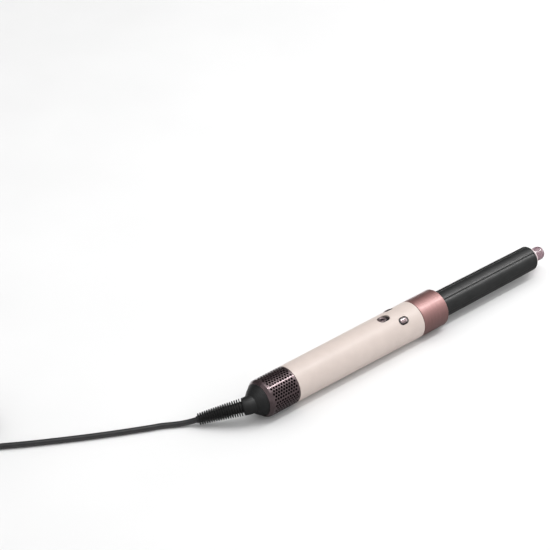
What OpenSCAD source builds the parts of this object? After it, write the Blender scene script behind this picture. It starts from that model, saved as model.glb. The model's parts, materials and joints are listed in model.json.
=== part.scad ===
// Automatic hair curler: a motor handle with a cord, and a pull-off curling barrel whose tip
// turns to change the direction of the air. It lies along X on the plane z = 0, the barrel
// towards +X, with the origin under the middle of the tool without its cord.
// A point on the handle is placed by its X and by an angle about the axis: 0 is straight up
// and 90 is towards -Y, which is the side the two push buttons lean to.

/* [Handle] */
// Length of the handle's outer shell
shell_len = 178.3; // [160:0.1:200]
// Outer radius of the handle at the air filter
shell_r_rear = 20.5; // [20.4:0.05:20.6]
// Outer radius of the handle at the barrel, which is also the height of the axis
shell_r_front = 21; // [20.9:0.05:21.1]
// Length of the air filter cage
cage_len = 39.1; // [36:0.1:42]
// Length of the black cone that the cord leaves through
cone_len = 10.4; // [9:0.1:12]

/* [Barrel] */
// Length of the metal collar at the root of the barrel
collar_len = 36.2; // [35:0.1:38]
// Length of the curling barrel past the collar
barrel_len = 149.2; // [120:0.1:180]
// Radius of the barrel at the collar
barrel_r_root = 15.05; // [14.8:0.05:15.2]
// Radius of the barrel at its free end
barrel_r_end = 14.25; // [14:0.05:14.4]
// Length of the turning tip
tip_len = 21.5; // [19:0.1:24]
// Radius of the turning tip
tip_r = 7.9; // [7.4:0.1:8.2]

/* [Controls] */
// Distance from the handle's front edge to the power slider
slider_back = 42.7; // [42:0.1:44]
// Travel of the power slider
slider_travel = 4; // [3:0.5:4]
// Distance from the handle's front edge to the push buttons
button_back = 24.7; // [24.5:0.1:25.5]
// Angle of the push buttons on either side of the top line
button_angle = 37; // [34:1:40]
// Travel of a push button
button_travel = 0.8; // [0.5:0.1:0.8]
// Travel of the barrel release slider
release_travel = 3; // [2:0.5:3]

/* [Cord] */
// Diameter of the mains cord
cord_d = 6; // [5.6:0.1:6]
// Number of turns wound in the coil
coil_turns = 11; // [9:1:11]
// Diameter of a plug pin
pin_d = 4.8; // [4:0.1:5]
// Length of a plug pin
pin_len = 19; // [17:0.5:20]

/* [Hidden] */

eps = 0.01;
fn_round = 96;
fn_small = 32;

// Colours
blush = "#e3d3ca";
rose_gold = "#c98f8b";
mauve = "#5b4048";
pale_rose = "#dcc4c8";
black_rubber = "#26272a";
charcoal = "#3a3b3d";
inner_grey = "#6b6e73";

// Stations along the axis, from the cord end to the tip
seam = 0.3;
total_len = cone_len + cage_len + seam + shell_len + seam + collar_len + barrel_len + tip_len;
x_cone = -total_len / 2;
x_cage = x_cone + cone_len;
x_shell = x_cage + cage_len + seam;
x_front = x_shell + shell_len;
x_collar = x_front + seam;
x_barrel = x_collar + collar_len;
x_end = x_barrel + barrel_len;
x_tip = x_end + tip_len;
axis_h = shell_r_front;

// Handle shell
shell_r_in = 18.7;
shell_edge_r = 0.8;
x_slider = x_front - slider_back;
x_button = x_front - button_back;
bed_size = [15.2, 10];
cap_size = [12.4, 8.6];
hole_gap = 0.25;
release_size = [10, 7];
x_release = x_front - 27.4;

// Frame: a wide bay for the motor and the board, a narrow duct for the heater, a socket cup
bay_r_in = 14.9;
bay_r_out = 16;
duct_r_in = 13;
duct_r_out = 13.8;
x_duct = x_front - 91;
taper_len = 4;
x_cup = x_front - 16.4;
cup_wall = 1.6;
cup_r_in = 16.5;
cup_front_gap = 0.6;
flange_t = 2;
lead_r = 0.7;
lead_orbit = 16.8;
lead_slot = 2.2;
x_lead_in = x_front - 118;
strut_size = [3, 1.6];
strut_angles = [60, 180, 300];
ribbon_size = [6, 0.4];
ribbon_z = 14;
boss_x = x_front - 44;
boss_len = 4;

// Cage, mesh and cone
cage_wall = 1.2;
cage_chamfer = 3.4;
cage_rim_r = 17.5;
cone_gap = 0.2;
cone_r_small = 10;
bulkhead_t = 3.6;
mesh_r_in = 17.6;
mesh_t = 0.4;
vent_count = 20;
vent_w = 3;

// Motor
x_motor = x_front - 174.4;
shroud_len = 44;
shroud_r_in = 12.9;
shroud_t = 1;
mount_len = 6;
shaft_r = 1.5;
fan_r = 12.6;
fan_len = 11;
blade_count = 11;
can_r = 10.6;
can_t = 1;
can_len = 25;
x_can = x_motor + 17;
plate_t = 2;
bearing_r = 4;
run_gap = 0.05;
vane_count = 8;
core_len = 14;
x_core = x_can + 5;
core_r_in = 6.2;
tooth_count = 6;
tooth_w = 2.2;
magnet_r = 5.8;

// Board
x_board = x_front - 124.4;
board_len = 28;
board_t = 1.6;

// Heater
x_heater = x_front - 86.4;
heater_len = 62;
sleeve_r_out = 12.8;
sleeve_t = 0.5;
former_t = 0.8;
wire_r = 0.45;
wire_orbit = 10.5;
wire_pitch = 5;

// Controls
flex_r = duct_r_out;
flex_t = 0.8;
flex_span = 110;
x_flex = x_front - 54.4;
flex_len = 37;
switch_h = 1.4;
bed_top = 19.2;
bed_t = 1.4;
bed_flange_t = 1;
slider_size = [10.6, 8.4];
slider_top = 20.8;
stem_size = [3, 2.4];
foot_t = 0.4;
button_top = 22;
button_dome_r = 18;
button_foot_z = 16.9;
button_foot_t = 0.8;

// Latch
leaf_w = 4;
leaf_z = 16.8;
leaf_t = 0.4;
nose_x = x_front - 7.5;
nose_len = 2.2;
nose_depth = 1.5;
spring_r = 1;
spring_wire = 0.25;
spring_turns = 5;
spring_y = 4.6;
spring_z = 15.5;
leg_t = 0.8;
wedge_len = 3.6;
x_wedge = x_release - 4.6;

// Barrel
neck_r = 16.2;
neck_r_in = 13;
groove_len = 3.4;
groove_depth = 1.2;
seal_t = 1;
seal_gap = 0.1;
neck_flange_r = 18.9;
collar_r_in = 19;
collar_lip_t = 3;
collar_lip_r = 17;
collar_fillet = 2.8;
x_neck_end = x_collar + 15.3;
x_flange = x_collar + 0.4;
neck_flange_t = 2.8;
x_base_front = x_barrel - 2.5;
base_wall = 4;
screw_r = 0.9;
screw_head_r = 1.2;
screw_orbit = 17.6;
slat_count = 6;
slat_pitch = 360 / slat_count;
slat_phase = 32;
ramp_span = 24;
slot_depth = 1.5;
slat_t = 1;
lip_t = 0.7;
lip_span = 2;
slat_step = 3;
end_ring_len = 3;
end_fillet = 2.8;
hub_r = 4.5;
spindle_r = 2;
diverter_r = 10.8;
diverter_t = 0.8;
window_w = 5;
collar_tip_r = 11;
spoke_t = 1.5;

// Cord: it runs along the plane from the relief, points in mm at the middle of the cord
relief_r_end = 5.6;
relief_smooth = 0.18;
relief_straight = 4;
relief_bezier = [
    [x_cone - relief_straight, 0, axis_h], [-235.6, 7.5, 18.8], [-248.8, 19.9, 13.9],
    [-264, 30.5, 6.5]
];
relief_rings = 16;
cord_route = [
    [-264, 30.5, 6.5], [-269, 33.8, 4.5], [-274, 37.1, 3.4], [-280, 41.1, 3], [-292, 49, 3],
    [-304, 54.5, 3], [-318, 61.8, 3], [-337, 71.7, 3], [-357, 82.6, 3], [-377, 94, 3],
    [-397, 105.8, 3], [-417, 118, 3], [-437, 131, 3], [-457, 144, 3], [-477, 157, 3]
];
cord_end_route = [
    [-470.7, 167.4, 21], [-476.1, 171.9, 22.3], [-480.1, 177.7, 24.8], [-482.2, 184.4, 27.8],
    [-482.2, 191.4, 30.6], [-480, 197.5, 32.5]
];
cord_sides = 12;
coil_center = [-456, 190];
coil_r_mid = 33;
coil_columns = 3;
coil_layers = ceil((coil_turns + 1) / coil_columns);
coil_r_in = coil_r_mid - coil_columns * cord_d / 2;
coil_r_out = coil_r_mid + coil_columns * cord_d / 2;
coil_h = coil_layers * cord_d;
tie_angle = -35;
tie_span = 20;
tie_t = 0.8;
plug_yaw = 57;
plug_tail = 14;
plug_size = [34, 36, 17];
plug_corner = 8;
pin_spacing = 19;

// ---- Shared shapes ----

// Places children on the tool's axis
module on_axis() {
    translate([0, 0, axis_h]) children();
}

// Turns an outline of [radius, x] points about the tool's axis
module lathe(outline) {
    on_axis() rotate([0, 90, 0]) rotate_extrude($fn = fn_round) polygon(outline);
}

// A tube on the axis between two stations
module tube(x0, x1, r_out, r_in) {
    lathe([[r_in, x0], [r_out, x0], [r_out, x1], [r_in, x1]]);
}

// A rod on the axis between two stations
module rod(x0, x1, r) {
    on_axis() translate([x0, 0, 0]) rotate([0, 90, 0]) cylinder(h = x1 - x0, r = r, $fn = fn_small);
}

// Places children at a station and an angle, with local Z pointing away from the axis
module station(x, angle) {
    on_axis() translate([x, 0, 0]) rotate([angle, 0, 0]) children();
}

// Points of a rounded corner of an outline, angle 0 being outwards and 90 towards +X
function corner(r, x, fillet, from, to, steps = 6) = [
    for (i = [0 : steps]) let (a = from + (to - from) * i / steps)
        [r + fillet * cos(a), x + fillet * sin(a)]
];

// A flat shape with two round ends
module capsule(size) {
    square([size.x - size.y, size.y], center = true);
    for (side = [-1, 1]) translate([side * (size.x - size.y) / 2, 0]) circle(d = size.y, $fn = fn_small);
}

module capsule_block(size, z0, z1) {
    translate([0, 0, z0]) linear_extrude(z1 - z0) capsule(size);
}

// A box given by its middle in X and Y and by its lowest and highest Z
module block(size, z0, z1) {
    translate([-size.x / 2, -size.y / 2, z0]) cube([size.x, size.y, z1 - z0]);
}

function unit(v) = v / norm(v);
function bezier(p, t) = pow(1 - t, 3) * p[0] + 3 * t * pow(1 - t, 2) * p[1]
    + 3 * t * t * (1 - t) * p[2] + pow(t, 3) * p[3];
function heading(points, i) =
    unit(points[min(i + 1, len(points) - 1)] - points[max(i - 1, 0)]);

// A closed solid through rings of points, each ring turning right-handed about the way on
module skin(rings) {
    count = len(rings);
    sides = len(rings[0]);
    walls = [
        for (i = [0 : count - 2], k = [0 : sides - 1])
            let (next = (k + 1) % sides)
            [i * sides + k, (i + 1) * sides + k, (i + 1) * sides + next, i * sides + next]
    ];
    first_cap = [for (k = [0 : sides - 1]) k];
    last_cap = [for (k = [sides - 1 : -1 : 0]) (count - 1) * sides + k];
    polyhedron(points = [for (ring = rings) each ring], faces = concat(walls, [first_cap, last_cap]));
}

// Sweeps a round section of changing radius along a line of points that never stands upright
module swept(points, radii, sides) {
    skin([
        for (i = [0 : len(points) - 1])
            let (along = heading(points, i), side = unit(cross(along, [0, 0, 1])),
                 up = cross(side, along))
            [for (k = [0 : sides - 1])
                points[i] + radii[i] * (cos(360 * k / sides) * side - sin(360 * k / sides) * up)]
    ]);
}

// Three spokes from a hub out to a ring, centred on the axis
module spokes(x0, x1, r_from, r_to) {
    for (angle = strut_angles)
        station(x0, angle) translate([0, -spoke_t / 2, r_from]) cube([x1 - x0, spoke_t, r_to - r_from]);
}

// ---- Handle casing ----

module handle_shell() {
    color(blush) difference() {
        lathe(concat(
            [[shell_r_in, x_shell], [shell_r_rear, x_shell]],
            corner(shell_r_front - shell_edge_r, x_front - shell_edge_r, shell_edge_r, 0, 90),
            [[shell_r_in, x_front]]));
        station(x_slider, 0) capsule_block(bed_size + [0.1, 0.1], shell_r_in - 2, shell_r_front + 1);
        for (side = [-1, 1])
            station(x_button, side * button_angle)
                capsule_block(cap_size + 2 * [hole_gap, hole_gap], shell_r_in - 2, shell_r_front + 1);
        station(x_release - release_travel / 2, 180)
            capsule_block(release_size + [release_travel + 0.5, 0.5], shell_r_in - 2, shell_r_front + 1);
    }
}

// The frame that everything inside is built on, with the socket for the barrel at its front
module inner_frame() {
    ring_stations = [x_shell, x_front - 122.4, x_front - 75];
    strut_len = x_shell - x_cage - bulkhead_t + 1;
    color(inner_grey) difference() {
        union() {
            lathe([
                [bay_r_in, x_shell], [bay_r_out, x_shell], [bay_r_out, x_duct],
                [duct_r_out, x_duct + taper_len], [duct_r_out, x_cup], [shell_r_in, x_cup],
                [shell_r_in, x_front - cup_front_gap], [cup_r_in, x_front - cup_front_gap],
                [cup_r_in, x_cup + cup_wall], [duct_r_in, x_cup + cup_wall],
                [duct_r_in, x_duct + taper_len], [bay_r_in, x_duct]
            ]);
            for (x = ring_stations) tube(x, x + flange_t, shell_r_in, x < x_duct ? bay_r_in : duct_r_in);
            for (angle = strut_angles)
                station(x_cage + bulkhead_t + strut_len / 2, angle)
                    block([strut_len, strut_size.x], bay_r_in + 0.3, bay_r_in + 0.3 + strut_size.y);
            station(boss_x, 180) block([boss_len, 13], duct_r_in + 0.4, leaf_z);
        }
        for (angle = [90, 270]) {
            for (x = [x_shell, x_front - 122.4])
                station(x + flange_t / 2, angle)
                    block([flange_t + 1, lead_slot], bay_r_out - 0.2, shell_r_in + 1);
            station(x_lead_in, angle) block([lead_slot, lead_slot], bay_r_in - 1, shell_r_in + 1);
        }
        station(x_duct + 1, 0)
            block([8, ribbon_size.x + 0.4], ribbon_z - 0.4, ribbon_z + ribbon_size.y + 0.2);
        station(x_front - 74, 0)
            block([4, ribbon_size.x + 0.4], ribbon_z - 0.4, ribbon_z + ribbon_size.y + 0.2);
        station(x_cup + 6, 180)
            block([13, leaf_w + 1], cup_r_in - 0.2, shell_r_in + 1);
    }
}

// The removable intake cage, with rows of long vents
module filter_cage() {
    vent_from = x_cage + 5.5;
    vent_to = x_cage + cage_len - 4;
    r_in = shell_r_rear - cage_wall;
    color(mauve) difference() {
        lathe([
            [cage_rim_r, x_cage], [cage_rim_r + 0.4, x_cage], [shell_r_rear, x_cage + cage_chamfer],
            [shell_r_rear, x_cage + cage_len], [r_in, x_cage + cage_len],
            [r_in, x_cage + cage_chamfer + 0.3], [cage_rim_r, x_cage + 1.7]
        ]);
        for (i = [0 : vent_count - 1])
            station((vent_from + vent_to) / 2, (i + 0.5) * 360 / vent_count)
                block([vent_to - vent_from, vent_w], r_in - 1, shell_r_rear + 1);
    }
}

// The fine metal screen under the cage
module filter_mesh() {
    color("silver") tube(x_cage + bulkhead_t, x_shell, mesh_r_in + mesh_t, mesh_r_in);
}

// The black end cone that closes the handle and holds the cord
module cord_cone() {
    r_big = cage_rim_r - cone_gap;
    color(black_rubber) lathe([
        [6, x_cone], [cone_r_small, x_cone], [r_big, x_cage], [r_big, x_cage + bulkhead_t - 1],
        [mesh_r_in + mesh_t, x_cage + bulkhead_t - 1], [mesh_r_in + mesh_t, x_cage + bulkhead_t],
        [12, x_cage + bulkhead_t], [12, x_cage]
    ]);
}

// ---- Cord ----

module strain_relief() {
    steps = [for (i = [0 : relief_rings]) i / relief_rings];
    radii = [for (t = steps) t < relief_smooth
        ? cone_r_small - t / relief_smooth
        : cone_r_small - 1 - (t - relief_smooth) / (1 - relief_smooth) * (cone_r_small - 1 - relief_r_end)];
    line = concat([[x_cone, 0, axis_h]], [for (t = steps) bezier(relief_bezier, t)]);
    color(black_rubber) swept(line, concat([cone_r_small], radii), 16);
}

module cord_run() {
    color(black_rubber) swept(cord_route, [for (p = cord_route) cord_d / 2], cord_sides);
}

// The rest of the cord, wound up: one solid of the coil's outer shape
module cord_coil() {
    color(black_rubber) translate([coil_center.x, coil_center.y, 0]) difference() {
        rotate_extrude($fn = fn_round)
            translate([coil_r_in, 0]) square([coil_r_out - coil_r_in, coil_h]);
        rotate([0, 0, tie_angle - tie_span / 2]) rotate_extrude(angle = tie_span, $fn = fn_round)
            translate([coil_r_in - 1, -1]) square([coil_r_out - coil_r_in + 2, 1 + tie_t]);
    }
}

module cord_end() {
    color(black_rubber) swept(cord_end_route, [for (p = cord_end_route) cord_d / 2], cord_sides);
}

// The strap round the coil
module cord_tie() {
    color("#1c1c1e") translate([coil_center.x, coil_center.y, 0])
        rotate([0, 0, tie_angle - tie_span / 2]) rotate_extrude(angle = tie_span, $fn = fn_round)
            difference() {
                translate([coil_r_in - tie_t, 0])
                    square([coil_r_out - coil_r_in + 2 * tie_t, coil_h + tie_t]);
                translate([coil_r_in, tie_t]) square([coil_r_out - coil_r_in, coil_h - tie_t]);
            }
}

// Places children where the cord meets the plug, with local X towards the pins
module at_plug() {
    translate(cord_end_route[len(cord_end_route) - 1]) rotate([0, 0, plug_yaw]) children();
}

module plug_body() {
    tail_r = 4.2;
    color(black_rubber) at_plug() {
        rotate([0, 90, 0])
            cylinder(h = plug_tail + 1, r1 = cord_d / 2 + 0.6, r2 = tail_r, $fn = fn_small);
        translate([plug_tail, 0, -plug_size.z / 2]) linear_extrude(plug_size.z) {
            translate([plug_corner, -plug_size.y / 2])
                square([plug_size.x - plug_corner, plug_size.y]);
            translate([0, -plug_size.y / 2 + plug_corner])
                square([plug_size.x, plug_size.y - 2 * plug_corner]);
            for (side = [-1, 1])
                translate([plug_corner, side * (plug_size.y / 2 - plug_corner)])
                    circle(r = plug_corner, $fn = fn_small);
        }
    }
}

module plug_pins() {
    color("silver") at_plug() for (side = [-1, 1])
        translate([plug_tail + plug_size.x, side * pin_spacing / 2, 0]) rotate([0, 90, 0])
            cylinder(h = pin_len, d = pin_d, $fn = fn_small);
}

// The two wires that run from the cone, outside the frame, in to the main board
module mains_leads() {
    x_from = x_cage + bulkhead_t;
    reach = lead_orbit - bay_r_in + 0.05;
    color("sienna") for (angle = [90, 270]) {
        station(x_from, angle) translate([0, 0, lead_orbit]) rotate([0, 90, 0])
            cylinder(h = x_lead_in - x_from, r = lead_r, $fn = fn_small);
        station(x_lead_in, angle) translate([0, 0, lead_orbit]) sphere(r = lead_r, $fn = fn_small);
        station(x_lead_in, angle) translate([0, 0, lead_orbit - reach])
            cylinder(h = reach, r = lead_r, $fn = fn_small);
    }
}

// ---- Motor ----

module motor_shroud() {
    r_out = shroud_r_in + shroud_t;
    color("silver") lathe([
        [shroud_r_in + 0.8, x_motor], [bay_r_in - 0.1, x_motor], [bay_r_in - 0.1, x_motor + 0.8],
        [r_out, x_motor + 1.6], [r_out, x_motor + shroud_len], [shroud_r_in, x_motor + shroud_len],
        [shroud_r_in, x_motor + 2]
    ]);
}

// Soft rings that keep the motor's shake out of the handle
module motor_mounts() {
    color(black_rubber) for (x = [x_motor + 3, x_motor + shroud_len - mount_len - 1])
        tube(x, x + mount_len, bay_r_in, shroud_r_in + shroud_t);
}

// The motor's case, its two bearing plates and the vanes that straighten the air
module motor_can() {
    vane_len = 9;
    color("gainsboro") {
        tube(x_can, x_can + can_len, can_r, can_r - can_t);
        for (x = [x_can, x_can + can_len - plate_t]) tube(x, x + plate_t, can_r, bearing_r);
        for (i = [0 : vane_count - 1])
            station(x_can + 1, i * 360 / vane_count)
                translate([0, -0.4, can_r - 0.3]) cube([vane_len, 0.8, shroud_r_in - can_r + 0.27]);
    }
}

module stator_core() {
    r_out = can_r - can_t;
    color("slategray") {
        tube(x_core, x_core + core_len, r_out, r_out - 1.4);
        for (i = [0 : tooth_count - 1])
            station(x_core + core_len / 2, i * 360 / tooth_count)
                block([core_len, tooth_w], core_r_in, r_out - 1);
    }
}

module stator_windings() {
    depth = [6.7, 7.9];
    color("#b87333") for (i = [0 : tooth_count - 1])
        station(x_core + core_len / 2, i * 360 / tooth_count) difference() {
            block([core_len + 3, tooth_w + 2], depth[0], depth[1]);
            block([core_len, tooth_w], depth[0] - 1, depth[1] + 1);
        }
}

module motor_bearings() {
    color("silver") for (x = [x_can, x_can + can_len - plate_t])
        tube(x, x + plate_t, bearing_r, shaft_r + run_gap);
}

module motor_shaft() {
    color("silver") rod(x_motor + 3.5, x_can + can_len + 0.5, shaft_r);
}

module rotor_magnet() {
    color("dimgray") tube(x_core, x_core + core_len, magnet_r, shaft_r);
}

module impeller() {
    x0 = x_motor + 4;
    hub_from = 4.5;
    hub_to = 8;
    pitch = 38;
    blade_t = 0.7;
    color("#3f4146") {
        lathe([[shaft_r, x0], [hub_from, x0], [hub_to, x0 + fan_len], [shaft_r, x0 + fan_len]]);
        intersection() {
            for (i = [0 : blade_count - 1])
                station(x0 + fan_len / 2, i * 360 / blade_count) rotate([0, 0, pitch])
                    block([fan_len, blade_t], 4, fan_r + 1);
            tube(x0 + 0.8, x0 + fan_len - 0.5, fan_r, shaft_r + 1);
        }
    }
}

// ---- Electronics ----

module main_board() {
    color("#1f5a3a") on_axis() translate([x_board + board_len / 2, 0, 0])
        block([board_len, 2 * bay_r_in - 0.1], -board_t / 2, board_t / 2);
}

// Capacitors, a choke and the power switch on the board
module board_parts() {
    top = board_t / 2;
    color("#22252b") on_axis() {
        for (y = [-5, 5]) translate([x_board + 6, y, top]) cylinder(h = 9, r = 3.5, $fn = fn_small);
        translate([x_board + 15, 0, top]) difference() {
            cylinder(h = 4, r = 4.5, $fn = fn_small);
            translate([0, 0, -1]) cylinder(h = 6, r = 2, $fn = fn_small);
        }
        translate([x_board + 18, 0, 0]) block([8, 12], -top - 5, -top);
    }
}

module heater_leads() {
    from = x_board + board_len;
    color("firebrick") for (y = [-5, 5])
        on_axis() translate([from, y, 0]) rotate([0, 90, 0])
            cylinder(h = x_heater - from, r = board_t / 2, $fn = fn_small);
}

// Two crossed mica cards that carry the heating wire
module heater_former() {
    width = 2 * (sleeve_r_out - sleeve_t) - 0.2;
    color("burlywood") on_axis() translate([x_heater + heater_len / 2, 0, 0]) {
        block([heater_len, width], -former_t / 2, former_t / 2);
        block([heater_len, former_t], -width / 2, width / 2);
    }
}

module heater_wire() {
    x_from = x_heater + 4;
    x_to = x_heater + heater_len - 4;
    color("#8c8f94") on_axis() rotate([0, 90, 0]) for (x = [x_from : wire_pitch : x_to])
        translate([0, 0, x]) rotate_extrude($fn = fn_round)
            translate([wire_orbit - wire_r, -wire_r]) square(2 * wire_r);
}

module heater_sleeve() {
    color("tan") tube(x_heater - 1, x_heater + heater_len + 1, sleeve_r_out, sleeve_r_out - sleeve_t);
}

module thermal_fuse() {
    fuse_r = 1.6;
    offset_mid = former_t / 2 + fuse_r;
    color("white") on_axis() translate([x_heater + 6, offset_mid, offset_mid]) rotate([0, 90, 0])
        cylinder(h = 9, r = fuse_r, $fn = fn_small);
}

// The bead that measures the air as it leaves the heater
module thermistor() {
    x_bead = x_cup - 3;
    color("orange") {
        station(x_bead, 90) cylinder(h = duct_r_in, r = 0.4, $fn = fn_small);
        station(x_bead, 90) sphere(r = 1.3, $fn = fn_small);
    }
}

// A curved flexible board under the controls
module control_board() {
    color("#1f5a3a") on_axis() rotate([0, 90, 0]) rotate([0, 0, 180 - flex_span / 2])
        rotate_extrude(angle = flex_span, $fn = fn_round)
            translate([flex_r, x_flex]) square([flex_t, flex_len]);
}

// The slide switch and the two tactile switches
module control_switches() {
    base = flex_r + flex_t;
    plunger_top = button_foot_z - button_travel - 0.05;
    color("#22252b") {
        station(x_slider, 0) block([9, 5], base, base + switch_h);
        for (side = [-1, 1]) station(x_button, side * button_angle) {
            translate([0, 0, base]) cylinder(h = 0.9, r = 2.6, $fn = fn_small);
            translate([0, 0, base]) cylinder(h = plunger_top - base, r = 1.2, $fn = fn_small);
        }
    }
}

// The flat cable between the main board and the controls
module control_ribbon() {
    x_from = x_board + board_len - ribbon_size.y;
    color("#c98d3a") on_axis() {
        translate([x_from, -ribbon_size.x / 2, ribbon_z])
            cube([x_flex - x_from, ribbon_size.x, ribbon_size.y]);
        translate([x_from, -ribbon_size.x / 2, board_t / 2])
            cube([ribbon_size.y, ribbon_size.x, ribbon_z + ribbon_size.y - board_t / 2]);
    }
}

// ---- Controls ----

// The dark tray that the power slider runs in
module slider_bed() {
    slot = stem_size + [slider_travel + 0.4, 0.4];
    color(charcoal) station(x_slider, 0) difference() {
        union() {
            capsule_block(bed_size, bed_top - bed_t - eps, bed_top);
            capsule_block(bed_size + [2, 1.2], bed_top - bed_t - bed_flange_t, bed_top - bed_t);
        }
        block(slot, bed_top - bed_t - bed_flange_t - 1, bed_top + 1);
    }
}

module power_slider() {
    dish_r = 11;
    dish_depth = 0.9;
    foot_z = bed_top - bed_t - bed_flange_t - 0.1 - foot_t;
    color("#4b3c42") station(x_slider - slider_travel / 2, 0) {
        difference() {
            capsule_block(slider_size, bed_top + 0.1, slider_top);
            translate([0, 0, slider_top + dish_r - dish_depth]) sphere(r = dish_r, $fn = fn_round);
        }
        block(stem_size, foot_z, bed_top + 0.2);
        block([5, 4.5], foot_z, foot_z + foot_t);
    }
}

// A push button: a domed cap, and a foot inside that keeps it in its hole
module push_button(angle) {
    station(x_button, angle) {
        intersection() {
            capsule_block(cap_size, button_foot_z, button_top);
            translate([0, 0, button_top - button_dome_r]) sphere(r = button_dome_r, $fn = fn_round);
        }
        capsule_block(cap_size + [2.2, 1.8], button_foot_z, button_foot_z + button_foot_t);
    }
}

module airflow_button() {
    color("#4b3c42") push_button(button_angle);
}

module temperature_button() {
    color("#4b3c42") push_button(-button_angle);
}

// The slider on the far side of the handle that lifts the latch and frees the barrel
module release_slider() {
    leg_y = leaf_w / 2 + 0.5;
    color("#4b3c42") station(x_release, 180) {
        capsule_block(release_size, 17.9, 20.2);
        capsule_block(release_size + [3, 1.4], 17.4, 18);
    }
    color("#4b3c42") station(x_wedge, 180) {
        for (side = [-1, 1])
            translate([0, side * (leg_y + leg_t / 2), 0]) block([wedge_len, leg_t], spring_z - 1, 17.5);
        block([wedge_len, 2 * spring_y + 2.6], spring_z - 1.2, spring_z + 0.9);
    }
}

// The spring that returns the release slider
module release_spring() {
    x_from = boss_x + boss_len / 2;
    length = x_wedge - wedge_len / 2 - x_from;
    steps = spring_turns * 12;
    coil = [for (i = [0 : steps])
        let (a = 360 * spring_turns * i / steps)
        [spring_wire + (length - 2 * spring_wire) * i / steps, spring_r * cos(a), spring_r * sin(a)]];
    color("silver") station(x_from, 180) translate([0, spring_y, spring_z])
        spring_body(coil, spring_wire);
}

// Sweeps a thin wire along a helix that winds about local X
module spring_body(points, wire) {
    sides = 6;
    skin([
        for (i = [0 : len(points) - 1])
            let (along = heading(points, i), side = unit(cross(along, [0, points[i].y, points[i].z])),
                 out = cross(side, along))
            [for (k = [0 : sides - 1])
                points[i] + wire * (cos(360 * k / sides) * out + sin(360 * k / sides) * side)]
    ]);
}

// A leaf spring whose nose snaps into the groove of the barrel's neck
module latch_spring() {
    x_from = boss_x - boss_len / 2;
    x_to = nose_x + nose_len / 2;
    color("silver") {
        station((x_from + x_to) / 2, 180) block([x_to - x_from, leaf_w], leaf_z, leaf_z + leaf_t);
        station(nose_x, 180) block([nose_len, leaf_w - 0.6], leaf_z - nose_depth, leaf_z + eps);
    }
}

// The washer that the barrel's neck seals against
module socket_seal() {
    x_from = x_cup + cup_wall;
    color("#b9483a") tube(x_from, x_from + seal_t, neck_r, neck_r_in + 0.2);
}

// ---- Curling barrel ----

// The part of the barrel that goes into the handle
module barrel_neck() {
    x_from = x_cup + cup_wall + seal_t + seal_gap;
    groove_from = nose_x - groove_len / 2;
    color(charcoal) difference() {
        lathe([
            [neck_r_in, x_from], [neck_r - 0.4, x_from], [neck_r, x_from + 0.8],
            [neck_r, groove_from], [neck_r - groove_depth, groove_from],
            [neck_r - groove_depth, groove_from + groove_len], [neck_r, groove_from + groove_len],
            [neck_r, x_flange], [neck_flange_r, x_flange], [neck_flange_r, x_flange + neck_flange_t],
            [neck_r, x_flange + neck_flange_t], [neck_r, x_neck_end], [neck_r_in, x_neck_end]
        ]);
        screw_positions() screw_shape();
    }
}

module screw_positions() {
    for (angle = strut_angles) station(x_flange, angle) translate([0, 0, screw_orbit]) rotate([0, 90, 0])
        children();
}

module screw_shape() {
    cylinder(h = 10, r = screw_r, $fn = fn_small);
    translate([0, 0, -eps]) cylinder(h = 1.2 + eps, r = screw_head_r, $fn = fn_small);
}

module base_screws() {
    color("silver") screw_positions() {
        cylinder(h = 10, r = screw_r, $fn = fn_small);
        cylinder(h = 1.2, r = screw_head_r, $fn = fn_small);
    }
}

// The metal sleeve that continues the handle's line
module collar_ring() {
    rear_r = 0.5;
    color(rose_gold) lathe(concat(
        [[collar_r_in, x_collar]],
        corner(shell_r_front - rear_r, x_collar + rear_r, rear_r, -90, 0, 3),
        corner(shell_r_front - collar_fillet, x_barrel - collar_fillet, collar_fillet, 0, 90),
        [[collar_lip_r, x_barrel], [collar_lip_r, x_barrel - collar_lip_t],
         [collar_r_in, x_barrel - collar_lip_t]]));
}

// The heat-proof core of the collar, which holds the slats and the spindle's rear bearing
module barrel_base() {
    x_from = x_flange + neck_flange_t;
    x_lip = x_barrel - collar_lip_t - 0.1;
    pocket_to = x_neck_end + 1.5;
    tube_r = 14.5;
    hub_out = 4.4;
    bearing_x = x_lip - 6;
    color(charcoal) difference() {
        union() {
            lathe([
                [neck_r, x_from], [neck_flange_r, x_from], [neck_flange_r, pocket_to],
                [tube_r, pocket_to], [tube_r, x_lip - base_wall], [neck_flange_r, x_lip - base_wall],
                [neck_flange_r, x_lip], [collar_lip_r - 0.1, x_lip], [collar_lip_r - 0.1, x_base_front],
                [neck_r_in, x_base_front], [neck_r_in, x_neck_end], [neck_r, x_neck_end]
            ]);
            tube(bearing_x, x_lip, hub_out, spindle_r + run_gap);
            spokes(bearing_x + 1, x_lip - 1, hub_out - 0.2, neck_r_in + 0.2);
        }
        screw_positions() screw_shape();
    }
}

// Outline of one slat's section at a barrel radius: it starts low, under the lip of the slat
// before it, ramps up to the full radius and ends in a thin lip over the next slat
function slat_outer(a, r) = a < ramp_span ? r - slot_depth * (1 - sin(90 * a / ramp_span)) : r;
function slat_inner(a, r) = a < slat_pitch - 8 ? r - slot_depth - slat_t
    : r - lip_t - (slot_depth + slat_t - lip_t) * max(0, 1 - (a - slat_pitch + 8) / 6);
function slat_outline(r) =
    let (last = slat_pitch + lip_span, steps = ceil(last / slat_step))
    concat(
        [for (i = [0 : steps]) let (a = last * i / steps) slat_outer(a, r) * [cos(a), sin(a)]],
        [for (i = [steps : -1 : 0]) let (a = last * i / steps) slat_inner(a, r) * [cos(a), sin(a)]]);

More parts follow.
